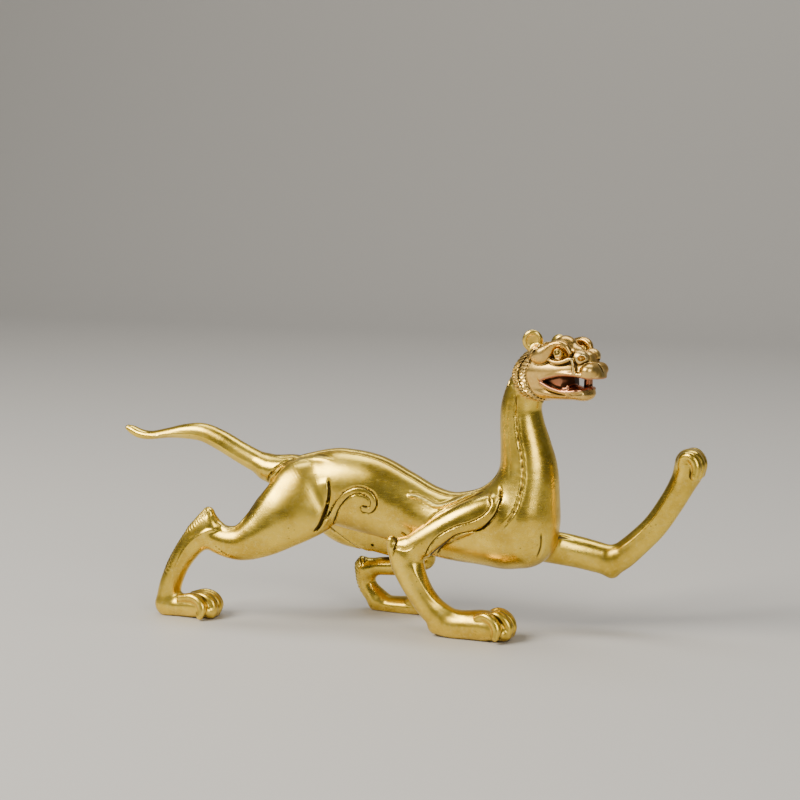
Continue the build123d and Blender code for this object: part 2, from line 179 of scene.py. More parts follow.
class Stroke:
    """A chased line drawn on the side view, as x and z, for marks on a flank."""

    def __init__(self, points, samples=8):
        self.path = spline(points, samples)

    def __call__(self, p):
        """Distance from the line, the share of its length, and the side: positive to its left."""
        out = np.full(len(p), FAR)
        share = np.zeros(len(p))
        left = np.zeros(len(p))
        q = p[:, [0, 2]]
        near = np.all((q > self.path.min(0) - 6) & (q < self.path.max(0) + 6), axis=1)
        if near.any():
            i, t, d = nearest_on(q[near], self.path)
            out[near] = np.sqrt(d)
            share[near] = (i + t) / (len(self.path) - 1)
            ab = self.path[i + 1] - self.path[i]
            rel = q[near] - self.path[i]
            left[near] = np.sign(ab[:, 0] * rel[:, 1] - ab[:, 1] * rel[:, 0])
        return out, share, left


def ridge(distance, width, height):
    """A rounded raised line."""
    return height * np.exp(-(distance / width) ** 2)


# ------------------------------------------------------------------ meshing

CORNERS = list(np.ndindex(2, 2, 2))

def mesh_field(field, low, high, step):
    """Surface nets on a lattice, evaluated only near the surface. Returns vertices and quads."""
    big, small = 8, 2
    share = big // small
    low = np.asarray(low, float) - 2 * step
    blocks = np.ceil((np.asarray(high, float) + 2 * step - low) / (step * big)).astype(int)

    def spread(array, times):
        return np.repeat(np.repeat(np.repeat(array, times, 0), times, 1), times, 2)

    def band(block):
        return step * block * 0.5 * math.sqrt(3.0) * 1.3 + 0.15

    value = evaluate(field, low + (np.argwhere(np.ones(blocks)) + 0.5) * step * big).reshape(blocks)
    inside = spread(value < 0, share)
    index = np.argwhere(spread(np.abs(value) < band(big), share))
    value = evaluate(field, low + (index + 0.5) * step * small)
    place = tuple(index.T)
    inside[place] = value < 0
    active = np.zeros(inside.shape, bool)
    active[place] = np.abs(value) < band(small)
    counts = blocks * big + 1
    values = np.full(tuple(counts), 1.0, np.float32)
    values[:-1, :-1, :-1][spread(inside, small)] = -1.0
    wanted = np.zeros(tuple(counts), bool)
    cells = spread(active, small)
    for corner in CORNERS:
        wanted[tuple(slice(c, c + n - 1) for c, n in zip(corner, counts))] |= cells
    values[wanted] = evaluate(field, low + np.argwhere(wanted) * step)
    return surface_nets(values, low, step)


def evaluate(field, points, chunk=16000):
    """A field at many points, worked out in chunks side by side."""
    parts = [points[i:i + chunk] for i in range(0, len(points), chunk)]
    return np.concatenate(list(workers.map(field, parts))) if parts else np.zeros(0)


def surface_nets(values, low, step):
    """One vertex in each lattice cell that the surface crosses, and a quad round each crossed edge."""
    inside = values < 0
    size = tuple(n - 1 for n in values.shape)

    def part(array, offset):
        return array[tuple(slice(o, o + n) for o, n in zip(offset, size))]

    total = np.zeros(size, np.int8)
    for corner in CORNERS:
        total += part(inside, corner)
    cells = (total > 0) & (total < 8)
    where = np.argwhere(cells)
    number = np.full(size, -1, np.int32)
    number[cells] = np.arange(len(where))
    summed = np.zeros((len(where), 3))
    crossings = np.zeros(len(where))
    corner_values = {c: values[tuple((where + c).T)] for c in CORNERS}
    for axis in range(3):
        for corner in CORNERS:
            if corner[axis]:
                continue
            other = tuple(1 if i == axis else corner[i] for i in range(3))
            a, b = corner_values[corner], corner_values[other]
            crossed = (a < 0) != (b < 0)
            t = a[crossed] / (a[crossed] - b[crossed])
            point = np.tile(np.array(corner, float), (crossed.sum(), 1))
            point[:, axis] += t
            summed[crossed] += point
            crossings[crossed] += 1
    vertices = low + (where + summed / crossings[:, None]) * step
    quads = []
    for axis in range(3):
        ahead = [slice(None)] * 3
        behind = [slice(None)] * 3
        ahead[axis] = slice(1, None)
        behind[axis] = slice(None, -1)
        a, b = inside[tuple(behind)], inside[tuple(ahead)]
        u, v = [i for i in range(3) if i != axis]
        edges = np.argwhere(a != b)
        edges = edges[(edges[:, u] > 0) & (edges[:, v] > 0)]
        edges = edges[(edges[:, u] < size[u]) & (edges[:, v] < size[v])]
        outward = a[edges[:, 0], edges[:, 1], edges[:, 2]]
        ring = []
        for du, dv in ((1, 1), (0, 1), (0, 0), (1, 0)):
            cell = edges.copy()
            cell[:, u] -= du
            cell[:, v] -= dv
            ring.append(number[cell[:, 0], cell[:, 1], cell[:, 2]])
        ring = np.stack(ring, 1)
        flip = outward if axis != 1 else ~outward
        ring[~flip] = ring[~flip][:, ::-1]
        quads.append(ring)
    return vertices, np.vstack(quads)


def settle(field, points, limit, probe=0.05):
    """A Newton step that brings vertices onto the surface, no longer than limit."""
    here = evaluate(field, points)
    slope = np.stack([evaluate(field, points + shift) - here for shift in np.eye(3) * probe], 1) / probe
    size = (slope * slope).sum(1)
    move = -here[:, None] * slope / np.maximum(size, 0.15)[:, None]
    length = np.linalg.norm(move, axis=1)[:, None]
    return points + move * np.minimum(1.0, limit / np.maximum(length, 1e-9))


# ------------------------------------------------------------------ the beast in the round

TAIL_JOINT_X = -56.0

trunk = Limb([(-60, 0, 64.0, 5.6, 6.6), (-52, 0, 62.6, 7.8, 8.0), (-46, 0, 60.8, 10.2, 10.0),
              (-34, 0, 58.7, 15.2, 13.0), (-24, 0, 57.3, 17.0, 13.8), (-12, 0, 55.2, 17.2, 13.0),
              (0, 0, 51.2, 15.7, 11.6), (12, 0, 46.5, 14.5, 11.4), (24, 0, 43.8, 14.3, 12.6),
              (36, 0, 44.0, 15.5, 14.0), (47, 0, 45.0, 15.4, 14.0), (55, 0, 45.5, 12.5, 12.0)], 10, 13.0)
neck = Limb([(55, 0, 42.0, 14.0, 12.6), (55.8, 0, 47.0, 14.3, 13.6),
             (56.6, 0, 53.0, 14.5, 14.2), (58.0, 0, 62.0, 13.7, 13.2), (58.4, 0, 71.0, 12.4, 11.4),
             (57.2, 0, 80.0, 10.9, 9.8), (55.6, 0, 89.0, 9.5, 8.6), (55.2, 0, 97.0, 8.6, 8.0),
             (57.4, 0, 104.5, 8.3, 8.0), (60.6, 0, 108.6, 7.6, 8.0), (63.5, 0, 110.5, 6.6, 7.4)], 10, 13.0)
tail = Limb([(-50, 0, 62.0, 7.0, 7.4), (-58, 0, 64.2, 5.3, 6.2), (-66, 0, 66.9, 4.8, 5.2),
             (-74, 0, 70.6, 4.6, 4.8), (-83, 0, 75.2, 4.5, 4.5), (-91.5, 0, 78.3, 4.1, 4.2),
             (-100, 0, 78.4, 3.3, 3.8), (-109, 0, 77.2, 2.2, 3.3), (-117, 0, 75.8, 1.9, 3.0),
             (-122.5, 0, 76.2, 2.1, 2.8), (-126.4, 0, 77.8, 1.9, 2.4), (-128.4, 0, 78.6, 1.3, 1.7)])

right_hind = [
    Limb([(-31, -6.0, 58.5, 12.0, 6.0), (-38, -9.5, 54.0, 16.4, 8.4), (-46.5, -13.0, 46.8, 14.6, 9.0),
          (-56.5, -16.4, 38.4, 10.6, 7.8), (-65.5, -18.3, 33.9, 7.8, 6.4), (-73.5, -19.1, 34.2, 6.6, 5.4),
          (-80, -19.3, 36.4, 6.0, 4.8)]),
    Limb([(-79.4, -19.2, 41.5, 4.6, 4.0), (-84.5, -19.3, 36.4, 6.2, 4.6), (-90.0, -19.5, 30.4, 5.4, 4.7),
          (-95.2, -19.6, 22.6, 4.9, 4.6), (-98.9, -19.8, 13.8, 4.9, 4.8), (-100.4, -20.0, 5.4, 5.4, 5.2)]),
    Limb([(-100.6, -20.0, 4.0, 4.6, 4.6), (-94.0, -20.1, 4.4, 5.0, 5.4), (-87.0, -20.3, 5.0, 5.4, 6.2),
          (-82.0, -20.4, 4.6, 4.8, 6.4), (-79.4, -20.4, 3.6, 3.6, 5.8)])]
right_fore = [
    Limb([(51, -9.5, 56.0, 5.0, 4.4), (45, -11.6, 54.2, 6.6, 5.2), (36, -14.0, 50.6, 6.6, 5.6),
          (26, -16.2, 45.4, 6.2, 5.6), (17, -17.8, 39.4, 6.2, 5.4), (10.4, -18.6, 34.4, 6.4, 5.0)]),
    Limb([(8.6, -18.6, 37.2, 4.8, 4.4), (10.8, -18.8, 31.0, 7.0, 5.3), (13.4, -18.8, 24.4, 6.4, 5.4),
          (17.2, -18.6, 17.2, 5.6, 5.2), (22.0, -18.2, 11.0, 5.6, 5.2), (28.0, -17.9, 6.8, 5.8, 5.4),
          (33.0, -17.7, 5.4, 5.4, 5.4)]),
    Limb([(24.0, -17.9, 4.6, 4.0, 4.6), (31.0, -17.7, 5.0, 5.6, 5.6), (39.0, -17.5, 5.6, 6.4, 6.4),
          (46.0, -17.4, 5.8, 6.6, 7.2), (51.0, -17.4, 4.8, 5.2, 7.0), (53.6, -17.4, 3.8, 3.8, 6.2)])]
left_hind = [
    Limb([(-38, 6.0, 56.5, 12.0, 6.0), (-33, 9.5, 50.0, 15.0, 8.0), (-24, 13.0, 42.8, 15.0, 8.4),
          (-12, 16.0, 35.5, 9.8, 7.2), (-2, 18.0, 30.2, 7.0, 6.0), (4, 19.0, 25.6, 5.6, 5.2)]),
    Limb([(5.0, 19.2, 25.0, 5.2, 4.9), (-1.0, 19.4, 21.8, 4.7, 4.7), (-9.0, 19.6, 20.2, 4.2, 4.4),
          (-16.0, 19.6, 19.6, 4.0, 4.1), (-21.6, 19.6, 18.0, 4.0, 3.9)]),
    Limb([(-21.8, 19.6, 18.6, 4.4, 3.9), (-22.6, 19.6, 14.0, 4.2, 4.0), (-20.6, 19.8, 9.0, 4.2, 4.3),
          (-16.4, 19.8, 5.0, 4.4, 4.7)]),
    Limb([(-17.2, 19.8, 3.2, 3.6, 4.2), (-10.0, 19.8, 2.6, 4.0, 5.2), (-2.0, 19.8, 2.8, 4.2, 6.2),
          (4.0, 19.8, 3.2, 4.2, 6.6)])]
left_fore = [
    Limb([(53, 5.0, 38.0, 6.2, 5.4), (60, 9.2, 36.2, 6.6, 6.0), (68, 13.2, 34.8, 7.0, 6.2),
          (77, 16.4, 32.8, 6.8, 6.0), (85, 18.2, 30.8, 6.6, 5.6), (89.6, 18.8, 30.0, 6.2, 5.2)]),
    Limb([(89.6, 18.8, 28.4, 5.4, 5.0), (94.6, 19.0, 32.2, 5.8, 5.1), (100.8, 19.4, 37.8, 5.5, 5.0),
          (108.6, 19.6, 46.0, 5.3, 4.9), (115.6, 19.6, 56.6, 5.3, 5.0), (120.0, 19.6, 64.6, 5.6, 5.4),
          (122.4, 19.6, 70.0, 6.4, 6.2), (122.9, 19.6, 73.6, 6.2, 6.6)])]


TOE_SWELL = (0.8, 1.0, 1.05, 1.0, 0.8)  # a toe's radius along its arc, against its nominal one
TOE_ROOT, TOE_FAN = 0.86, 0.14          # sideways spread at the root, and what each station adds


def digits(arc, y, spread, setback, radius, count=4):
    """Toes side by side, each a curled sausage along the same arc of x, z. The outer toes sit back."""
    toes = []
    middle = (count - 1) / 2
    for i in range(count):
        off = (i - middle) / middle
        back = setback[0] * off * off if off < 0 else setback[1] * off * off
        stations = []
        for j, ((x, z), swell) in enumerate(zip(arc, TOE_SWELL)):
            fan = TOE_ROOT + TOE_FAN * j
            stations.append((x - back, y + spread * off * fan, z, radius * swell, radius * swell))
        toes.append(Limb(stations, 6))
    return toes


def joined(parts, k, toes=()):
    """One field from overlapping limbs, with toes set on the last of them."""
    def field(p):
        d = parts[0](p)
        for part in parts[1:]:
            d = join(d, part(p), k)
        near = d < 6.0
        if toes and near.any():
            q = p[near]
            foot = toes[0](q)
            for toe in toes[1:]:
                foot = join(foot, toe(q), 0.2)
            d[near] = join(d[near], foot, 0.8)
        return d
    return field


NECK_JOINT = np.array([60.0, 0.0, 109.0])
NECK_AXIS = np.array([math.cos(math.radians(25.0)), 0.0, math.sin(math.radians(25.0))])


NECK_BLEND = 12.0
TAIL_BLEND = 3.0
HEAD_BLEND = 1.0


def torso_mass(p):
    return join(trunk(p), neck(p), NECK_BLEND)


TOES = {
    "right_hind_leg": digits([(-88.5, 8.6), (-83, 9.6), (-79.0, 8.3), (-77.0, 5.2), (-77.8, 2.0)],
                             -20.3, 5.1, (3.8, 1.6), 1.95),
    "left_hind_leg": digits([(0.5, 5.4), (4.5, 6.2), (8.0, 5.6), (9.8, 3.8), (9.6, 1.6)],
                            19.8, 4.9, (1.4, 3.0), 1.9),
    "right_foreleg": digits([(47.6, 10.0), (51.2, 11.0), (54.6, 9.4), (56.6, 6.2), (56.2, 3.0)],
                            -17.5, 5.3, (4.2, 1.8), 1.95),
    "left_foreleg": digits([(121.0, 73.2), (122.4, 76.6), (125.6, 77.0), (128.0, 73.6), (127.6, 69.0)],
                           19.6, 5.0, (0.8, 1.2), 2.1),
}
TUFTS = {
    "right_hind_leg": Limb([(-85.5, -19.2, 37.0, 4.4, 3.6), (-82.2, -19.2, 43.4, 3.6, 3.0),
                            (-80.6, -19.2, 46.6, 2.5, 2.3)]),
    "left_hind_leg": Limb([(-22.0, 19.6, 16.0, 3.6, 3.4), (-24.6, 19.6, 19.6, 2.6, 2.6),
                           (-24.4, 19.6, 22.0, 1.4, 1.6)]),
    "right_foreleg": Limb([(7.6, -19.0, 30.0, 3.2, 3.4), (5.6, -19.6, 35.4, 3.0, 2.9),
                           (4.4, -19.8, 39.9, 2.4, 2.3)]),
    "left_foreleg": Limb([(89.5, 18.8, 28.0, 4.2, 4.0), (90.2, 19.0, 24.8, 2.2, 2.4)]),
}
LEGS = {
    "right_hind_leg": joined(right_hind + [TUFTS["right_hind_leg"]], 2.5, TOES["right_hind_leg"]),
    "left_hind_leg": joined(left_hind + [TUFTS["left_hind_leg"]], 2.5, TOES["left_hind_leg"]),
    "right_foreleg": joined(right_fore + [TUFTS["right_foreleg"]], 1.6, TOES["right_foreleg"]),
    "left_foreleg": joined(left_fore + [TUFTS["left_foreleg"]], 2.5, TOES["left_foreleg"]),
}


def floor_cut(d, p):
    """Soles worn flat on the ground."""
    return -join(-d, p[:, 2], 0.5)


# ------------------------------------------------------------------ chased marks on the flanks

SHOULDER_OUTER = Stroke([(48.2, 65.5), (50.5, 59.9), (48.7, 53.1), (43.0, 46.9), (38.0, 45.4), (32.8, 44.0),
                         (28.2, 40.3), (22.5, 35.4), (19.6, 30.6)])
SHOULDER_INNER = Stroke([(44.0, 62.6), (46.8, 57.6), (44.4, 53.1), (38.8, 49.8), (32.7, 47.8), (25.9, 43.6),
                         (21.8, 38.5), (18.8, 31.8)])
LEFT_SHOULDER = Stroke([(42.0, 65.0), (38.6, 58.0), (41.0, 50.6), (48.0, 45.4), (57.0, 42.8), (66.0, 41.4),
                        (76.0, 39.0)])
NECK_LINE = Stroke([(55.2, 103.7), (55.2, 94.9), (56.4, 85.4), (58.7, 75.6), (59.3, 65.8), (56.8, 54.8),
                    (50.1, 44.7)])
NAPE_LINE = Stroke([(51.6, 101.0), (51.0, 92.0), (52.0, 82.0), (53.2, 73.0), (53.4, 66.0)])
WHISKER = Stroke([(7.4, 57.8), (11.2, 57.3), (15.6, 55.7), (20.3, 53.9), (24.9, 54.9), (31.0, 57.8),
                  (37.0, 60.8), (43.0, 63.8)])
ARMPIT_FOLD = Stroke([(24.6, 52.8), (20.8, 50.6), (16.8, 45.6)])
HAUNCH_GROOVE = Stroke([(-27.4, 64.1), (-26.5, 57.4), (-28.0, 49.9), (-30.0, 43.9), (-33.0, 39.9)])
HAUNCH_RIM = Stroke([(-76.0, 43.6), (-71.4, 40.6), (-65.5, 43.5), (-60.2, 53.0), (-55.2, 62.6), (-47.9, 68.2),
                     (-38.9, 71.0), (-31.1, 71.4), (-25.0, 69.8)])
LEFT_RIM = Stroke([(-16.0, 25.0), (-26.0, 33.5), (-38.0, 45.0), (-45.5, 56.0), (-42.0, 66.0), (-33.0, 71.0)])
SCROLL = Stroke([(-28.4, 41.6), (-24.3, 49.9), (-20.6, 55.2), (-17.0, 58.2), (-12.7, 59.3), (-8.3, 57.5),
                 (-6.6, 54.1), (-8.2, 50.9), (-11.2, 51.0)])
ELBOW_LINE = Stroke([(5.6, 36.6), (8.3, 37.7), (11.1, 37.2), (14.2, 38.1), (17.2, 41.4)])
LEAF_EDGE = Stroke([(4.6, 42.0), (7.0, 40.2), (6.6, 37.4), (5.4, 33.0)])
INSTEP_RIDGE = Stroke([(-73.1, 39.7), (-78.8, 39.3), (-84.5, 35.8), (-89.4, 31.1), (-93.9, 22.7),
                       (-96.4, 14.1), (-96.2, 8.4)])
HOCK_REAR = Stroke([(-79.6, 49.0), (-86.0, 44.2), (-93.0, 37.0), (-98.4, 28.4), (-102.0, 18.0)])
LEFT_HOCK_REAR = Stroke([(-22.0, 24.0), (-26.0, 19.6), (-27.0, 13.0), (-24.0, 6.0)])
CHEST_FOLD = Stroke([(67.6, 47.0), (67.0, 39.6), (64.4, 33.0)])
FOREARM_RIDGE = Stroke([(13.6, 33.0), (18.4, 23.6), (24.4, 16.0), (32.6, 11.6), (42.0, 10.6)])
RAISED_RIDGE = Stroke([(92.0, 34.4), (100.0, 40.4), (108.0, 48.8), (115.0, 59.4), (119.4, 68.0)])
TAIL_LINE = Stroke([(-60.0, 63.0), (-74.0, 69.2), (-83.0, 73.8), (-91.5, 77.0), (-100.0, 77.4),
                    (-109.0, 76.6), (-117.0, 75.4), (-123.0, 76.0)])
HEEL_DOTS = [(-75.1, 32.5), (-73.8, 31.4), (-72.7, 30.5), (-71.7, 29.7), (-70.7, 29.0)]
FLANK_STARTS, FLANK_FULL = 2.5, 5.5     # how far from the middle plane the marks fade in
TRUNK_AXIS_X = [-60.0, -46.0, -24.0, 0.0, 24.0, 47.0]
TRUNK_AXIS_Z = [64.0, 60.8, 57.3, 51.2, 43.8, 45.0]


def taper(share, start, end):
    """Fades a mark in and out at the ends of its stroke."""
    return smooth_step(0.0, start, share) * smooth_step(0.0, end, 1.0 - share)


def line(stroke, p, width, height, start, end):
    """A plain raised line, or a cut one where the height is below zero."""
    d, share, _ = stroke(p)
    return ridge(d, width, height) * taper(share, start, end)


def edged(stroke, p, groove, swell, width, reach):
    """A cut line with the metal swelling up on the right-hand side of the stroke."""
    d, share, left = stroke(p)
    raised = swell * np.exp(-(d / reach) ** 2) * smooth_step(0.1, -0.4, left * d)
    return (raised - ridge(d, width, groove)) * taper(share, 0.10, 0.12)


def right_marks(p):
    """Marks of the beast's right flank and legs. Positive raises the metal."""
    h = edged(SHOULDER_OUTER, p, 0.62, 0.50, 0.42, 2.4)
    d, share, _ = SHOULDER_INNER(p)
    h += (0.16 * np.exp(-((d - 0.6) / 0.5) ** 2) - ridge(d, 0.36, 0.40)) * taper(share, 0.08, 0.12)
    h += edged(HAUNCH_GROOVE, p, 1.05, 0.75, 0.46, 4.0)
    d, share, left = HAUNCH_RIM(p)
    signed = d * left
    rim = ridge(signed + 0.1, 0.75, 0.55) - ridge(signed - 1.15, 0.42, 0.62)
    h += rim * taper(share, 0.06, 0.22)
    h += line(ELBOW_LINE, p, 0.42, -0.45, 0.15, 0.3)
    h += line(LEAF_EDGE, p, 0.38, -0.75, 0.12, 0.3)
    h += line(INSTEP_RIDGE, p, 0.7, 0.40, 0.12, 0.25)
    h += line(FOREARM_RIDGE, p, 1.1, 0.45, 0.2, 0.3)
    h += line(CHEST_FOLD, p, 0.5, -0.45, 0.2, 0.3)
    for x, z in HEEL_DOTS:
        h -= ridge(np.hypot(p[:, 0] - x, p[:, 2] - z), 0.34, 0.55)
    return h


def left_marks(p):
    """Marks of the beast's left flank and legs."""
    h = edged(LEFT_SHOULDER, p, 0.6, 0.45, 0.42, 2.4)
    d, share, left = LEFT_RIM(p)
    signed = d * left
    rim = ridge(signed + 0.1, 0.75, 0.5) - ridge(signed - 1.15, 0.42, 0.55)
    h += rim * taper(share, 0.1, 0.12)
    return h + line(RAISED_RIDGE, p, 0.9, 0.40, 0.15, 0.25)


def hatching(stroke, p, strokes, depth, width):
    """Short cuts across a worn edge."""
    d, share, _ = stroke(p)
    hair = np.cos(share * strokes * 2 * math.pi + 1.4 * p[:, 1])
    return (hair - 0.4) * depth * smooth_step(width, width * 0.4, d) * taper(share, 0.05, 0.12)


def chasing(p):
    """How far the surface stands above the plain form, in millimetres."""
    h = np.zeros(len(p))
    flank = smooth_step(FLANK_STARTS, FLANK_FULL, np.abs(p[:, 1]))
    d, share, _ = NECK_LINE(p)
    both = (0.30 * np.exp(-((d - 0.9) / 0.7) ** 2) - ridge(d, 0.40, 0.50)) * taper(share, 0.04, 0.12)
    both += line(NAPE_LINE, p, 0.45, -0.30, 0.1, 0.3)
    d, share, _ = WHISKER(p)
    both += (ridge(d, 0.75, 0.85) - ridge(d - 1.3, 0.5, 0.25)) * taper(share, 0.05, 0.15)
    both += line(ARMPIT_FOLD, p, 0.45, -0.5, 0.1, 0.3)
    d, share, _ = SCROLL(p)
    band = 0.42 * smooth_step(1.45, 0.95, d) - ridge(d - 1.5, 0.30, 0.48)
    both += band * smooth_step(0.0, 0.10, share) * (d < 3.0)
    beside = smooth_step(1.0, 2.0, np.abs(p[:, 1]))
    both += line(TAIL_LINE, p, 0.9, 0.35, 0.15, 0.2) * beside / np.maximum(flank, 0.2)
    h += both * flank
    right = p[:, 1] < -FLANK_STARTS
    if right.any():
        h[right] += right_marks(p[right]) * flank[right]
    other = p[:, 1] > FLANK_STARTS
    if other.any():
        h[other] += left_marks(p[other]) * flank[other]
    height = p[:, 2] - np.interp(p[:, 0], TRUNK_AXIS_X, TRUNK_AXIS_Z)
    y = np.abs(p[:, 1])
    strip = 0.55 * smooth_step(3.0, 2.2, y) - ridge(y - 3.1, 0.45, 0.35)
    along = smooth_step(-58.0, -46.0, p[:, 0]) * smooth_step(49.0, 40.0, p[:, 0])
    h += strip * along * smooth_step(5.0, 8.0, height)
    h += hatching(HOCK_REAR, p, 26, 0.22, 3.4) * (p[:, 1] < -10)
    h += hatching(LEFT_HOCK_REAR, p, 12, 0.22, 3.0) * (p[:, 1] > 10)
    return h


# ------------------------------------------------------------------ the head
# Head shapes use u forward along the muzzle, v to the beast's left and w up.

HEAD_ORIGIN = np.array([57.5, 0.0, 112.5])
HEAD_YAW, HEAD_PITCH = math.radians(-20.0), math.radians(4.0)
FORWARD = np.array([math.cos(HEAD_YAW) * math.cos(HEAD_PITCH), math.sin(HEAD_YAW) * math.cos(HEAD_PITCH),
                    math.sin(HEAD_PITCH)])
LEFT = np.array([-math.sin(HEAD_YAW), math.cos(HEAD_YAW), 0.0])
UP = np.cross(FORWARD, LEFT)
HEAD_AXES = np.stack([FORWARD, LEFT, UP], 1)


def turned(yaw, roll=0.0):
    """Axes of a shape turned about w, then tipped about u."""
    c, s = math.cos(math.radians(yaw)), math.sin(math.radians(yaw))
    spin = np.array([[c, -s, 0], [s, c, 0], [0, 0, 1.0]])
    c, s = math.cos(math.radians(roll)), math.sin(math.radians(roll))
    return spin @ np.array([[1.0, 0, 0], [0, c, -s], [0, s, c]])


skull = Limb([(1.0, 0, -1.6, 10.0, 8.8), (7.0, 0, -0.9, 11.4, 9.5), (13.0, 0, 0.0, 11.8, 9.5),
              (19.0, 0, 0.2, 11.4, 8.6), (24.0, 0, -0.8, 10.2, 7.8), (29.0, 0, -2.2, 8.8, 7.1),
              (32.6, 0, -3.4, 7.4, 6.4)])
jaw = Limb([(4.0, 0, -7.0, 5.0, 8.6), (12.0, 0, -8.4, 3.8, 8.4), (20.0, 0, -9.6, 2.6, 7.4),
            (25.0, 0, -9.9, 2.3, 6.8), (28.2, 0, -9.7, 2.6, 6.2), (29.8, 0, -9.7, 2.5, 5.0)])
lower_lip = Limb([(13.6, 8.9, -4.6, 1.1, 1.0), (18.0, 8.3, -6.8, 1.0, 1.0), (23.0, 7.4, -8.2, 0.9, 1.0),
                  (27.0, 6.8, -8.2, 0.9, 1.0), (29.6, 5.4, -8.0, 1.0, 1.0), (30.8, 2.0, -7.9, 1.0, 1.0)])
upper_lip = Limb([(13.6, 9.0, -2.6, 1.1, 1.0), (18.0, 8.8, -1.5, 1.0, 1.1), (23.0, 8.2, -0.6, 1.0, 1.1),
                  (28.4, 7.4, -0.8, 1.0, 1.1), (32.0, 6.6, -1.3, 1.0, 1.1), (35.4, 5.2, -2.2, 1.0, 1.2)])
brow_lobe = Limb([(9.6, 8.0, 6.4, 2.2, 1.8), (11.6, 8.6, 6.8, 3.4, 2.8), (14.6, 8.9, 7.4, 3.9, 3.3),
                  (17.6, 8.9, 9.2, 3.0, 2.8), (20.6, 8.8, 11.2, 1.9, 2.2), (23.8, 8.5, 11.9, 1.35, 1.9),
                  (26.6, 8.0, 10.6, 1.15, 1.6), (28.0, 7.5, 8.0, 0.9, 1.2)])
nose_groove = Limb([(28.2, 4.2, 8.8, 0.45, 0.9), (26.7, 5.6, 6.8, 0.5, 1.1), (27.3, 6.9, 4.0, 0.5, 1.0),
                    (30.2, 7.2, 2.5, 0.45, 0.9), (33.2, 6.4, 2.8, 0.45, 0.9)])
lower_lid = Limb([(17.6, 8.4, 5.6, 0.9, 1.2), (20.4, 8.9, 4.4, 0.9, 1.1), (24.0, 8.8, 4.3, 0.9, 1.1),
                  (27.4, 8.0, 5.4, 0.9, 1.0)])
tongue = Limb([(14.0, 0, -6.0, 2.6, 6.0), (20.0, 0, -6.8, 2.2, 5.0), (26.0, 0, -7.6, 1.3, 3.6),
               (30.0, 0, -8.0, 0.9, 2.6)])
MOUTH_U = [13.0, 16.0, 19.0, 23.0, 29.0, 34.0, 40.0]
MOUTH_ROOF = [-3.6, -2.6, -2.0, -1.3, -1.5, -2.8, -3.4]
MOUTH_FLOOR = [-3.7, -5.3, -6.6, -7.6, -7.5, -7.2, -7.1]
EYE = np.array([23.4, 9.0, 8.1])
EYE_GAZE = np.array([0.30, 0.94, 0.14]) / np.linalg.norm([0.30, 0.94, 0.14])
EYE_RADIUS = 2.35
EAR_PLACES = {-1: (9.6, 8.0, 13.0), 1: (12.6, 6.2, 9.8)}
EAR_TURNS = {-1: turned(-32.0, -12.0), 1: turned(0.0, 0.0)}
EAR_RADII = (4.3, 1.7, 4.7)
HAIRS = 48
RUFF_BEND = 0.054
muzzle_edge = Limb([(25.8, 8.4, 5.0, 0.55, 0.7), (28.6, 8.1, 5.5, 0.55, 0.7), (29.5, 8.0, 3.0, 0.55, 0.7),
                    (29.6, 7.8, 0.0, 0.55, 0.7)], 6)


def to_head(p):
    return (p - HEAD_ORIGIN) @ HEAD_AXES


def ear_field(q, side):
    """A round leaf of an ear, cupped on its outer face, in head coordinates."""
    place = np.array(EAR_PLACES[side])
    m = q * np.array([1.0, side, 1.0])
    turn = EAR_TURNS[side]
    leaf = ball(m, place, EAR_RADII, turn)
    cup = ball(m, place + turn @ np.array([0.0, 1.75, 0.3]), (3.15, 1.35, 3.5), turn)
    stem = ball(m, place + np.array([1.2, -0.4, -4.0]), (2.8, 1.9, 2.4))
    return join(carve(leaf, cup, 0.5), stem, 1.2)


def eye_field(q, side):
    """The domed eye with a raised ring and a raised pupil."""
    rel = q * np.array([1.0, side, 1.0]) - EYE
    radius = np.linalg.norm(rel, axis=1)
    ahead = rel @ EYE_GAZE
    off = np.sqrt(np.maximum(radius ** 2 - ahead ** 2, 0.0))
    mark = ridge(off - 1.45, 0.32, 0.28) + ridge(off, 0.50, 0.34) - ridge(off - 0.90, 0.28, 0.26)
    return radius - EYE_RADIUS - mark * (ahead > 0)


def mouth_field(q):
    """Inside the open mouth this is negative. It runs right across the head only near the front."""
    u, v, w = q[:, 0], np.abs(q[:, 1]), q[:, 2]
    roof = np.interp(u, MOUTH_U, MOUTH_ROOF)
    ground = np.interp(u, MOUTH_U, MOUTH_FLOOR)
    wall = 6.6 * smooth_step(25.0, 21.5, u) - 2.0 * smooth_step(23.0, 25.5, u)
    d = np.maximum(w - roof, ground - w)
    d = np.maximum(d, 13.4 - u)
    return np.maximum(d, wall - v)


def ruff_height(q):
    """The two rows of short hair that ring the throat."""
    u, v, w = q[:, 0], np.abs(q[:, 1]), q[:, 2]
    s = u - RUFF_BEND * (w + 2.0) ** 2
    around = np.arctan2(v, w + 2.0) * HAIRS
    gate = smooth_step(13.6, 10.0, w) * smooth_step(-13.2, -11.4, w)
    outer = smooth_step(-2.3, -1.3, s) * smooth_step(2.4, 1.6, s)
    inner = smooth_step(2.0, 2.6, s) * smooth_step(6.2, 5.2, s)
    hair = 0.5 + 0.5 * np.cos(around + 0.9 * s)
    finer = 0.5 + 0.5 * np.cos(around * 0.93 + 1.7 - 1.1 * s)
    h = outer * (0.15 + 0.55 * hair) + inner * (0.05 + 0.50 * finer)
    return (h - ridge(s - 2.0, 0.35, 0.5) - ridge(s - 6.2, 0.4, 0.35)) * gate


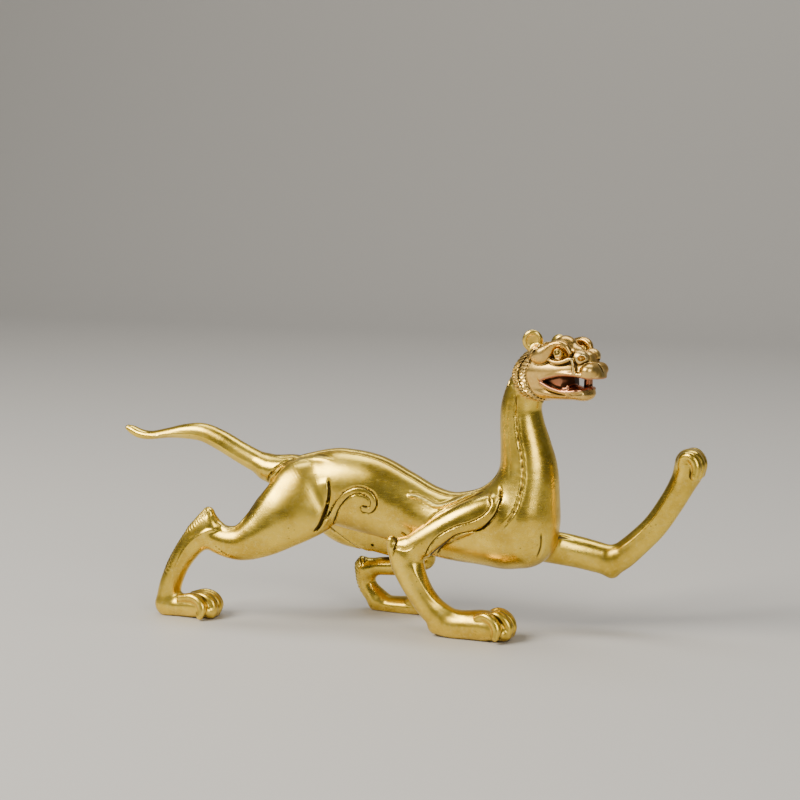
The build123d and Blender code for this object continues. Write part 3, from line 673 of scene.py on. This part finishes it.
def head_solid(q):
    """Skull, cheeks, muzzle and jaw with their features, in head coordinates."""
    m = q.copy()
    m[:, 1] = np.abs(q[:, 1])
    u, w = m[:, 0], m[:, 2]
    d = skull(m)
    d = join(d, ball(m, (20.4, 0, 7.4), (6.4, 5.2, 7.2)), 1.6)
    d = join(d, ball(m, (26.4, 0, 6.8), (3.6, 3.8, 3.6)), 1.6)
    d = join(d, ball(m, (30.8, 0, 5.0), (3.8, 4.2, 3.2)), 1.0)
    d = join(d, ball(m, (30.4, 4.4, 5.6), (3.9, 3.1, 3.3)), 0.6)
    d = join(d, ball(m, (34.4, 3.6, 0.2), (3.4, 4.2, 3.2)), 1.0)
    cheek = ball(m, (17.0, 5.2, 0.2), (15.0, 4.9, 5.6), turned(-6.0))
    d = join(d, np.maximum(cheek, u - 29.7), 0.5)
    d = join(d, muzzle_edge(m), 0.5)
    d = carve(d, np.maximum(31.0 - u, w + 4.0), 0.6)
    d = join(d, jaw(m), 1.5)
    d = join(d, ball(m, (29.0, 0, -9.9), (3.4, 5.8, 2.5)), 0.8)
    d = np.maximum(d, -1.6 - (u - RUFF_BEND * (w + 2.0) ** 2))
    d = carve(d, ball(m, (23.1, 9.9, 7.9), (4.0, 2.7, 3.2)), 0.4)
    d = join(d, brow_lobe(m), 0.35)
    d = join(d, lower_lid(m), 0.4)
    d = carve(d, mouth_field(q), 0.6)
    d = join(d, lower_lip(m), 0.5)
    d = join(d, upper_lip(m), 0.7)
    d = join(d, tongue(m), 0.8)
    d = carve(d, nose_groove(m), 0.5)
    d = carve(d, ball(m, (32.6, 6.2, 5.6), (1.5, 1.6, 1.1)), 0.3)
    d = carve(d, ball(m, (37.2, 0, 1.0), (1.6, 0.55, 4.0)), 0.4)
    d = carve(d, ball(m, (26.2, 4.4, 10.4), (0.6, 0.8, 3.4)), 0.5)
    d = join(d, tube(q, (26.6, 5.8, -9.0), (27.2, 5.8, -1.4), 1.9, 1.7), 0.5)
    d = join(d, tube(q, (25.2, -6.8, -9.2), (25.4, -6.8, -6.0), 1.1, 0.7), 0.4)
    d = join(d, ball(q, (23.9, -7.2, -7.0), (1.6, 0.9, 0.9)), 0.3)
    return d - ruff_height(q)


def head_field(p):
    """The head in world millimetres."""
    out = np.full(len(p), FAR)
    near = p[:, 2] > 92.0
    if near.any():
        q = to_head(p[near])
        close = np.all((q > (-14, -17, -19)) & (q < (44, 17, 24)), axis=1)
        if close.any():
            value = np.full(len(q), FAR)
            value[close] = head_solid(q[close])
            out[near] = value
    return out


# ------------------------------------------------------------------ joints, pins and the core


class Rod:
    """A flat-ended cylinder from a point along a direction."""

    def __init__(self, start, direction, radius, length):
        self.start = np.asarray(start, float)
        self.direction = np.asarray(direction, float) / np.linalg.norm(direction)
        self.radius = radius
        self.length = length
        self.middle = self.start + self.direction * length / 2

    def __call__(self, p):
        out = np.full(len(p), FAR)
        near = np.linalg.norm(p - self.middle, axis=1) < self.length / 2 + self.radius + 6.0
        if near.any():
            rel = p[near] - self.start
            t = rel @ self.direction
            off = np.linalg.norm(rel - t[:, None] * self.direction, axis=1)
            out[near] = np.maximum(off - self.radius, np.maximum(-t, t - self.length))
        return out


END_GAP = 0.6
RING_WIDTH = 1.4
RING_THICKNESS = 1.2
LEG_SPIGOT, LEG_PIN, LEG_PIN_RISE = 4.0, 1.2, 5.0
TAIL_SPIGOT, TAIL_PIN = 2.8, 0.9
NECK_SPIGOT, NECK_PIN = 4.4, 1.2
# Each leg's joint: its x and z, then the distances from the middle plane of its root, ring and tip.
LEG_JOINTS = {"right_hind_leg": (-38.0, 57.0, 15.0, 7.6, 3.2), "left_hind_leg": (-32.0, 57.0, 15.0, 7.6, 3.2),
              "right_foreleg": (46.0, 53.0, 13.0, 7.4, 3.2), "left_foreleg": (60.0, 37.5, 10.0, 3.6, -1.2)}


def joint(start, direction, radius, length, ring_at):
    """Spigot, bore and filler-ring groove of one joint."""
    spigot = Rod(start, direction, radius, length)
    bore = Rod(start, direction, radius, length + END_GAP)
    groove = Rod(spigot.start + spigot.direction * ring_at, direction, radius + RING_THICKNESS, RING_WIDTH)
    return spigot, bore, groove


SPIGOTS, CUTS, PINS = {}, [], {}
for leg_name, (x, z, start_y, ring_y, tip_y) in LEG_JOINTS.items():
    side = -1 if leg_name.startswith("right") else 1
    inward = (0, -side, 0)
    root = (x, side * start_y, z)
    spigot, bore, groove = joint(root, inward, LEG_SPIGOT, start_y - tip_y, start_y - ring_y)
    pin = Rod((x, side * (ring_y - RING_WIDTH + tip_y) / 2, z + LEG_PIN_RISE), (0, 0, -1), LEG_PIN, 60.0)
    SPIGOTS[leg_name] = spigot
    PINS[leg_name] = pin
    CUTS += [bore, groove, pin]
spigot, bore, groove = joint((-59.0, 0, 63.6), (1, 0, 0), TAIL_SPIGOT, 13.0, 5.0)
SPIGOTS["tail"] = spigot
PINS["tail"] = Rod((-49.5, 20.0, 63.6), (0, -1, 0), TAIL_PIN, 40.0)
CUTS += [bore, groove, PINS["tail"]]
spigot, bore, groove = joint(NECK_JOINT + NECK_AXIS * 3.0, -NECK_AXIS, NECK_SPIGOT, 13.0, 4.6)
SPIGOTS["neck"] = spigot
PINS["neck"] = Rod(NECK_JOINT - NECK_AXIS * 6.5 + np.array([0, 20.0, 0]), (0, -1, 0), NECK_PIN, 40.0)
CUTS += [bore, groove, PINS["neck"]]
PLUGS = [Rod((-16.0, 0, 36.0), (0, 0, 1), 1.8, 6.0), Rod((22.0, 0, 28.0), (0, 0, 1), 1.8, 6.0)]
VENT = Rod((-15.5, 6.0, 31.0), (0, 1, 0), 0.7, 8.0)
CORE = [Limb([(-24, 0, 57.5, 9.0, 8.0), (-12, 0, 55.5, 12.5, 9.0), (2, 0, 50.5, 11.0, 7.8),
              (14, 0, 46.5, 10.0, 7.6), (26, 0, 44.0, 9.5, 8.0), (34, 0, 44.0, 6.5, 6.0)], 5),
        Limb([(58, 0, 62, 7.0, 7.0), (58.4, 0, 71, 7.6, 7.0), (57.2, 0, 80, 6.6, 5.8),
              (55.6, 0, 88, 5.4, 4.6), (55.0, 0, 93, 4.0, 3.6)], 5)]


def core(p):
    return np.minimum(CORE[0](p), CORE[1](p))


def outside_of(cutters, d, p):
    """The field d with every cutter taken out of it."""
    for cutter in cutters:
        d = np.maximum(d, -cutter(p))
    return d


# ------------------------------------------------------------------ assembling each casting

BLEND = {"right_hind_leg": 3.0, "left_hind_leg": 3.0, "right_foreleg": 1.6, "left_foreleg": 3.0}


def finish(d, p):
    """Chased marks and flat soles."""
    near = np.abs(d) < 2.0
    if near.any():
        d = d.copy()
        d[near] -= chasing(p[near]) * smooth_step(2.0, 1.2, np.abs(d[near]))
    return floor_cut(d, p)


def torso_pair(p):
    """The whole outside, and a bound above zero where the metal belongs to another casting."""
    own = torso_mass(p)
    d = join(own, tail(p), TAIL_BLEND)
    bound = np.maximum((p - NECK_JOINT) @ NECK_AXIS, TAIL_JOINT_X - p[:, 0])
    for name, leg in LEGS.items():
        limb_d = leg(p)
        d = join(d, limb_d, BLEND[name])
        bound = np.maximum(bound, own - limb_d)
    skin = join(finish(d, p), head_field(p), HEAD_BLEND)
    bound = outside_of(CUTS + PLUGS, bound, p)
    return skin, np.maximum(bound, -core(p))


def leg_pair(name):
    def pair(p):
        own, limb_d = torso_mass(p), LEGS[name](p)
        bound = np.minimum(limb_d - own, SPIGOTS[name](p))
        cutters = [PINS[name]] + ([VENT] if name == "left_hind_leg" else [])
        return finish(join(own, limb_d, BLEND[name]), p), outside_of(cutters, bound, p)
    return pair


def tail_pair(p):
    tail_d = tail(p)
    rump = np.maximum(p[:, 0] - TAIL_JOINT_X, tail_d - LEGS["right_hind_leg"](p) - 1.0)
    bound = outside_of([PINS["tail"]], np.minimum(rump, SPIGOTS["tail"](p)), p)
    return finish(join(torso_mass(p), tail_d, TAIL_BLEND), p), bound


def head_pair(p):
    bound = np.minimum(-(p - NECK_JOINT) @ NECK_AXIS, SPIGOTS["neck"](p))
    q = to_head(p)
    for side in (-1, 1):
        bound = np.maximum(bound, -eye_field(q, side))
        bound = np.maximum(bound, -ear_field(q, side))
    skin = join(finish(neck(p), p), head_field(p), HEAD_BLEND)
    return skin, outside_of([PINS["neck"]], bound, p)


def trunk_and(cutter):
    """A small piece that fills a hole through the trunk, flush with its skin."""
    def pair(p):
        return torso_pair(p)[0], cutter(p)
    return pair


def alone(shape):
    """A piece with no neighbour to be cut from."""
    def pair(p):
        return shape(p), np.full(len(p), -FAR)
    return pair


# ------------------------------------------------------------------ materials

MIX_FIRST, MIX_SECOND, MIX_RESULT = 6, 7, 2      # the colour sockets of a Mix node


class Nodes:
    """Short-hand for building one material's node tree."""

    def __init__(self, name):
        self.material = bpy.data.materials.new(name)
        self.material.use_nodes = True
        self.tree = self.material.node_tree
        self.shader = self.tree.nodes["Principled BSDF"]
        self.place = self.tree.nodes.new("ShaderNodeTexCoord").outputs["Object"]

    def link(self, source, socket):
        if isinstance(source, (int, float)):
            socket.default_value = source
        elif isinstance(source, tuple):
            socket.default_value = (*source, 1.0) if len(source) == 3 else source
        else:
            self.tree.links.new(source, socket)

    def attribute(self, name):
        node = self.tree.nodes.new("ShaderNodeAttribute")
        node.attribute_name = name
        return node.outputs["Fac"]

    def stretched(self, scale):
        node = self.tree.nodes.new("ShaderNodeMapping")
        node.inputs["Scale"].default_value = scale
        self.link(self.place, node.inputs["Vector"])
        return node.outputs["Vector"]

    def noise(self, scale, detail=3.0, rough=0.55, vector=None):
        node = self.tree.nodes.new("ShaderNodeTexNoise")
        node.inputs["Scale"].default_value = scale
        node.inputs["Detail"].default_value = detail
        node.inputs["Roughness"].default_value = rough
        self.link(vector or self.place, node.inputs["Vector"])
        return node.outputs["Fac"]

    def cells(self, scale):
        node = self.tree.nodes.new("ShaderNodeTexVoronoi")
        node.inputs["Scale"].default_value = scale
        self.link(self.place, node.inputs["Vector"])
        return node.outputs["Distance"]

    def remap(self, value, low, high, to_low=0.0, to_high=1.0):
        node = self.tree.nodes.new("ShaderNodeMapRange")
        node.interpolation_type = "SMOOTHSTEP"
        self.link(value, node.inputs["Value"])
        for name, number in zip(("From Min", "From Max", "To Min", "To Max"), (low, high, to_low, to_high)):
            node.inputs[name].default_value = number
        return node.outputs["Result"]

    def sum(self, operation, a, b):
        node = self.tree.nodes.new("ShaderNodeMath")
        node.operation = operation
        node.use_clamp = operation != "SUBTRACT"
        self.link(a, node.inputs[0])
        self.link(b, node.inputs[1])
        return node.outputs[0]

    def times(self, a, b):
        return self.sum("MULTIPLY", a, b)

    def mix(self, share, a, b):
        node = self.tree.nodes.new("ShaderNodeMix")
        node.data_type = "RGBA"
        self.link(share, node.inputs["Factor"])
        self.link(a, node.inputs[MIX_FIRST])
        self.link(b, node.inputs[MIX_SECOND])
        return node.outputs[MIX_RESULT]

    def bump(self, height, distance, strength, normal=None):
        node = self.tree.nodes.new("ShaderNodeBump")
        node.inputs["Distance"].default_value = distance
        node.inputs["Strength"].default_value = strength
        self.link(height, node.inputs["Height"])
        if normal:
            self.link(normal, node.inputs["Normal"])
        return node.outputs["Normal"]


COPPERY, DULL_COPPERY = (0.86, 0.54, 0.17), (0.64, 0.36, 0.09)
MOUTH_COPPER = (0.50, 0.18, 0.11)
# Dark brown: real dirt in the casting pits, and painted shade in the recesses
PIT_DIRT_AND_RECESS_SHADE = (0.040, 0.020, 0.007)


def brass_material(name, rich, pale, dull, shine, pitting):
    """Polished cast brass: mottled, pale on worn edges, dark brown in the recesses with painted shade and
    dirt, faintly pitted.
    """
    n = Nodes(name)
    patches = n.remap(n.noise(70.0, 4.0, 0.6), 0.36, 0.66)
    fine = n.noise(650.0, 3.0, 0.6)
    pits = n.remap(n.cells(420.0), 0.10, 0.20, 1.0, 0.0)
    pits = n.times(pits, n.remap(n.noise(120.0, 2.0), 0.52, 0.66, 0.0, pitting))
    scratches = n.remap(n.noise(220.0, 4.0, 0.65, n.stretched((1.0, 1.0, 7.0))), 0.50, 0.72)
    worn = n.remap(n.attribute("worn"), 0.10, 0.60)
    # how deep in a recess: drives the painted recess shade and extra roughness
    cavity = n.remap(n.sum("ADD", n.attribute("cavity"), n.remap(fine, 0.3, 0.7, -0.04, 0.05)), 0.10, 0.55)
    tint = n.times(n.attribute("tint"), 0.75)
    colour = n.mix(patches, n.mix(tint, rich, COPPERY), n.mix(tint, dull, DULL_COPPERY))
    colour = n.mix(n.remap(fine, 0.45, 0.75, 0.0, 0.30), colour, pale)
    colour = n.mix(n.times(worn, 0.55), colour, pale)
    colour = n.mix(n.times(pits, 0.8), colour, PIT_DIRT_AND_RECESS_SHADE)
    colour = n.mix(n.times(n.attribute("mouth"), 0.85), colour, MOUTH_COPPER)
    # painted shade: recesses are mixed almost to black, for the shade that falls in them as well as dirt
    colour = n.mix(n.times(cavity, 0.92), colour, PIT_DIRT_AND_RECESS_SHADE)
    rough = n.remap(n.noise(48.0, 3.0), 0.3, 0.7, shine, shine + 0.10)
    rough = n.sum("ADD", rough, n.times(cavity, 0.28))
    rough = n.sum("ADD", rough, n.times(scratches, 0.07))
    relief = n.sum("SUBTRACT", n.times(n.noise(300.0, 4.0, 0.6), 0.6), n.times(pits, 0.9))
    swell = n.bump(n.noise(75.0, 2.0), 0.0007, 0.20)
    grain = n.bump(relief, 0.00016, 0.30, swell)
    n.link(colour, n.shader.inputs["Base Color"])
    n.link(rough, n.shader.inputs["Roughness"])
    n.link(grain, n.shader.inputs["Normal"])
    n.shader.inputs["Metallic"].default_value = 1.0
    return n.material


brass = brass_material("polished_brass", (0.92, 0.65, 0.085), (1.0, 0.82, 0.26), (0.68, 0.45, 0.05),
                       0.225, 0.6)
head_brass = brass_material("head_brass", (0.90, 0.64, 0.12), (1.0, 0.78, 0.33), (0.66, 0.44, 0.07),
                            0.235, 0.5)
pin_brass = brass_material("pin_brass", (0.86, 0.62, 0.13), (1.0, 0.81, 0.33), (0.66, 0.46, 0.09),
                           0.27, 0.3)
filler = brass_material("braze_filler", (0.90, 0.69, 0.20), (1.0, 0.86, 0.42), (0.72, 0.53, 0.14),
                        0.34, 0.6)
for keeper in bpy.context.scene.objects:
    if keeper.type == "MESH" and keeper.name.endswith("_ring"):
        keeper.data.materials.clear()
        keeper.data.materials.append(filler)

# ------------------------------------------------------------------ turning fields into pieces


def recess_shade_and_edge_wear(skin, points, normal):
    """How far each vertex lies in a recess, measured like ambient occlusion for the painted recess shade, and
    how far it stands on an exposed edge, for wear; both 0 to 1.
    """
    out, deep, probe = 1.2, 1.0, 0.25
    here = evaluate(skin, points)
    steep = np.maximum((evaluate(skin, points + normal * probe) - here) / probe, 0.3)
    cavity = 1.0 - (evaluate(skin, points + normal * out) - here) / (out * steep)
    worn = 1.0 + (evaluate(skin, points - normal * deep) - here) / (deep * steep)
    return np.clip(cavity, 0.0, 1.0), np.clip(worn, 0.0, 1.0)


CREASE_REACH = 0.8                      # in steps: how near both surfaces a crease vertex lies
LONGEST_MOVE = 0.5                      # in steps
SHARP_ANGLE = math.radians(50.0)


def casting(name, pair, low, high, step, material, slot, *replaces):
    """Meshes one piece: its skin, cut where its bound rises above zero."""
    step *= ROUGH

    def field(p):
        return np.maximum(*pair(p))

    def skin(p):
        return pair(p)[0]

    def bound(p):
        return pair(p)[1]

    vertices, quads = mesh_field(field, low, high, step)
    outer, cut = evaluate(skin, vertices), evaluate(bound, vertices)
    crease = (np.abs(outer) < step * CREASE_REACH) & (np.abs(cut) < step * CREASE_REACH)
    vertices[~crease] = settle(field, vertices[~crease], step * LONGEST_MOVE)
    edge = vertices[crease]
    for _ in range(2):
        edge = settle(skin, edge, step * LONGEST_MOVE)
        edge = settle(bound, edge, step * LONGEST_MOVE)
    vertices[crease] = edge
    mesh = bpy.data.meshes.new(name)
    mesh.vertices.add(len(vertices))
    mesh.vertices.foreach_set("co", (vertices * MM).astype(np.float32).ravel())
    mesh.loops.add(quads.size)
    mesh.loops.foreach_set("vertex_index", quads.astype(np.int32).ravel())
    mesh.polygons.add(len(quads))
    mesh.polygons.foreach_set("loop_start", np.arange(0, quads.size, 4, dtype=np.int32))
    mesh.update()
    mesh.polygons.foreach_set("use_smooth", np.ones(len(quads), bool))
    mesh.set_sharp_from_angle(angle=SHARP_ANGLE)
    normal = np.empty(len(vertices) * 3, np.float32)
    mesh.vertices.foreach_get("normal", normal)
    # The recess measure drives the painted recess shade; the edge measure drives the pale worn edges
    cavity, worn = recess_shade_and_edge_wear(skin, vertices, normal.reshape(-1, 3).astype(float))
    marks = {"cavity": cavity, "worn": worn, "tint": smooth_step(0.9, 0.1, head_field(vertices))}
    if name == "head_casting":
        marks["mouth"] = smooth_step(1.0, 0.2, mouth_field(to_head(vertices)))
    for label, values in marks.items():
        mesh.attributes.new(label, "FLOAT", "POINT").data.foreach_set("value", values.astype(np.float32))
    mesh.validate()
    piece = bpy.data.objects.new(name, mesh)
    bpy.context.scene.collection.objects.link(piece)
    mesh.materials.append(material)
    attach(piece, "root")
    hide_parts(*replaces)


TORSO_STEP, LIMB_STEP, HEAD_STEP, EYE_STEP, EAR_STEP, PIN_STEP = 0.6, 0.4, 0.27, 0.14, 0.2, 0.25
casting("torso_casting", torso_pair, (-58, -18, 26), (76, 18, 124), TORSO_STEP, brass, "polished_brass",
        "torso")
BOXES = {"right_hind_leg": ((-108, -29, -1), (-16, 0, 76)), "left_hind_leg": ((-52, 0, -1), (14, 29, 74)),
         "right_foreleg": ((-2, -28, -1), (62, 0, 66)), "left_foreleg": ((46, -4, 20), (133, 29, 83))}
for leg_name, (low, high) in BOXES.items():
    casting(leg_name + "_casting", leg_pair(leg_name), low, high, LIMB_STEP, brass, "polished_brass",
            leg_name)
casting("tail_casting", tail_pair, (-132, -10, 54), (-44, 10, 88), LIMB_STEP, brass, "polished_brass", "tail")
casting("head_casting", head_pair, (44, -26, 92), (100, 18, 132), HEAD_STEP, head_brass, "head_brass", "head")
for side, word in ((-1, "right"), (1, "left")):
    def eye(p, side=side):
        return eye_field(to_head(p), side)

    def ear(p, side=side):
        return ear_field(to_head(p), side)

    organs = (("eye", eye, EYE_STEP, EYE), ("ear", ear, EAR_STEP, EAR_PLACES[side]))
    for kind, shape, step, (u, v, w) in organs:
        middle = HEAD_ORIGIN + HEAD_AXES @ np.array([u, side * v, w])
        node = word + "_" + kind
        casting(node + "_piece", alone(shape), middle - 8, middle + 8, step, head_brass, "head_brass", node)
for node, pin in PINS.items():
    ends = np.stack([pin.start, pin.start + pin.direction * pin.length])
    casting(node + "_pin_piece", trunk_and(pin), np.maximum(ends.min(0) - 2, (-60, -18, 24)),
            np.minimum(ends.max(0) + 2, (75, 18, 124)), PIN_STEP, pin_brass, "pin_brass", node + "_pin")


def plugs(p):
    return np.maximum(np.minimum(PLUGS[0](p), PLUGS[1](p)), -core(p))


casting("core_plug_pieces", trunk_and(plugs), (-20, -3, 27), (26, 3, 44), PIN_STEP, filler, "braze_filler",
        "core_plugs")

# ------------------------------------------------------------------ floor, light and camera

CAMERA_AT = Vector((336.8, -925.4, 233.6)) * MM
CAMERA_AIM = Vector((-1.2, 5.6, 96.3)) * MM
SENSOR = 36.0
LENS = 104.6
FLOOR_COLOUR = (0.50, 0.485, 0.465, 1)
FLOOR_ROUGHNESS = 0.55
LIT_SPOT = (0, 0, 0.06)
WORLD_COLOUR = (0.20, 0.21, 0.22, 1)
WORLD_STRENGTH = 0.5


def floor_and_backdrop():
    """A pale floor that curves up into a backdrop."""
    mesh = bpy.data.meshes.new("floor")
    half, back, rise, bend = 2.2, 1.6, 2.4, 0.5
    profile = [(-2.6, 0.0), (back - bend, 0.0)]
    for i in range(1, 13):
        a = math.radians(90.0 * i / 12)
        profile.append((back - bend + bend * math.sin(a), bend - bend * math.cos(a)))
    profile.append((back, rise))
    verts = [(x, y, z) for x in (-half, half) for y, z in profile]
    n = len(profile)
    faces = [(i, i + n, i + n + 1, i + 1) for i in range(n - 1)]
    mesh.from_pydata(verts, [], faces)
    mesh.update()
    mesh.polygons.foreach_set("use_smooth", [True] * len(faces))
    stage = bpy.data.objects.new("floor", mesh)
    bpy.context.scene.collection.objects.link(stage)
    material = bpy.data.materials.new("pale_floor")
    material.use_nodes = True
    shader = material.node_tree.nodes["Principled BSDF"]
    shader.inputs["Base Color"].default_value = FLOOR_COLOUR
    shader.inputs["Roughness"].default_value = FLOOR_ROUGHNESS
    mesh.materials.append(material)


def softbox(name, place, target, size, power, colour=(1, 1, 1)):
    """A soft rectangular lamp aimed at a target."""
    light = bpy.data.lights.new(name, "AREA")
    light.shape = "RECTANGLE"
    light.size, light.size_y = size
    light.energy = power
    light.color = colour
    lamp = bpy.data.objects.new(name, light)
    lamp.location = place
    lamp.rotation_euler = (Vector(target) - Vector(place)).to_track_quat("-Z", "Y").to_euler()
    bpy.context.scene.collection.objects.link(lamp)


floor_and_backdrop()
softbox("key", (-0.75, -0.75, 1.0), LIT_SPOT, (0.9, 0.7), 33, (1.0, 0.95, 0.84))
softbox("front", (0.9, -0.9, 0.65), LIT_SPOT, (0.5, 0.7), 8, (1.0, 0.96, 0.88))
softbox("top", (0.0, 0.35, 1.2), LIT_SPOT, (1.2, 0.5), 9)

world = bpy.data.worlds.new("studio")
bpy.context.scene.world = world
world.use_nodes = True
world.node_tree.nodes["Background"].inputs["Color"].default_value = WORLD_COLOUR
world.node_tree.nodes["Background"].inputs["Strength"].default_value = WORLD_STRENGTH

camera_data = bpy.data.cameras.new("camera")
camera_data.sensor_width = SENSOR
camera_data.lens = LENS
camera_data.clip_start = 0.01
camera = bpy.data.objects.new("camera", camera_data)
camera.location = CAMERA_AT
camera.rotation_euler = (CAMERA_AIM - CAMERA_AT).to_track_quat("-Z", "Y").to_euler()
bpy.context.scene.collection.objects.link(camera)
bpy.context.scene.camera = camera
